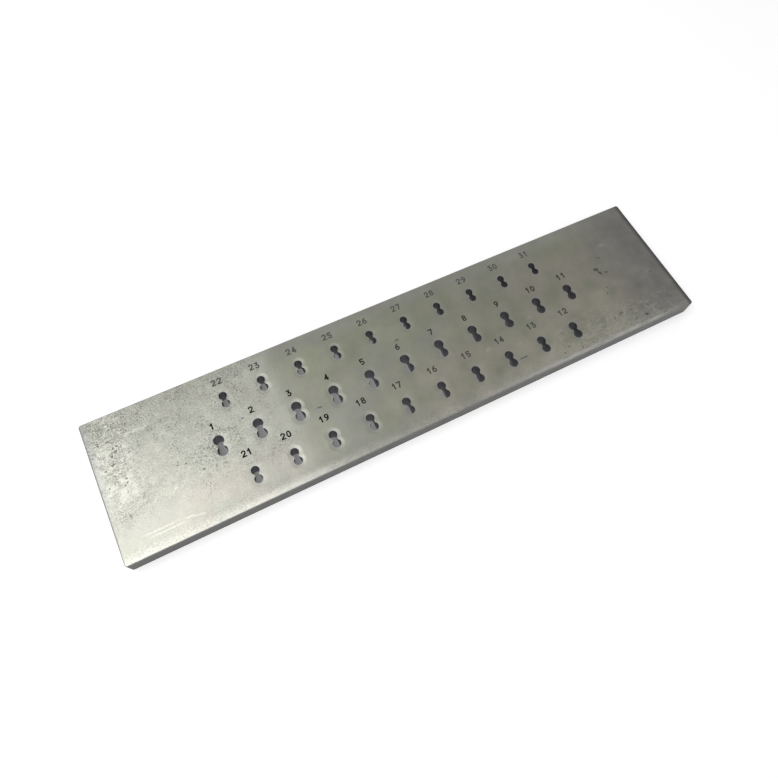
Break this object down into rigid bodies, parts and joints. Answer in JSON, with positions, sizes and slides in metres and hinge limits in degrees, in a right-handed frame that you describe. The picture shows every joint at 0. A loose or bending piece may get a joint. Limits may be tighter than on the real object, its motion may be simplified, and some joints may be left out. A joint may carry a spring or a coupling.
{
  "type": "wire draw plate",
  "caption": "Flat hardened steel draw plate with rows of figure-of-eight holes that step down in size, each stamped with its number, for drawing twin-bead wire.",
  "frame": {"origin": "middle of the plate's underside", "axes": "+X along the length, from hole 1 to hole 11; +Y across the plate, towards the long edge above the numbers; +Z out of the numbered face"},
  "size_m": [0.24, 0.0554, 0.0075],
  "materials": {
    "steel": "satin",
    "number_black": "matte"
  },
  "bodies": {
    "root": {"plate": "steel", "number_1": "number_black", "number_2": "number_black", "number_3": "number_black", "number_4": "number_black", "number_5": "number_black", "number_6": "number_black", "number_7": "number_black", "number_8": "number_black", "number_9": "number_black", "number_10": "number_black", "number_11": "number_black", "number_12": "number_black", "number_13": "number_black", "number_14": "number_black", "number_15": "number_black", "number_16": "number_black", "number_17": "number_black", "number_18": "number_black", "number_19": "number_black", "number_20": "number_black", "number_21": "number_black", "number_22": "number_black", "number_23": "number_black", "number_24": "number_black", "number_25": "number_black", "number_26": "number_black", "number_27": "number_black", "number_28": "number_black", "number_29": "number_black", "number_30": "number_black", "number_31": "number_black"}
  },
  "joints": []
}
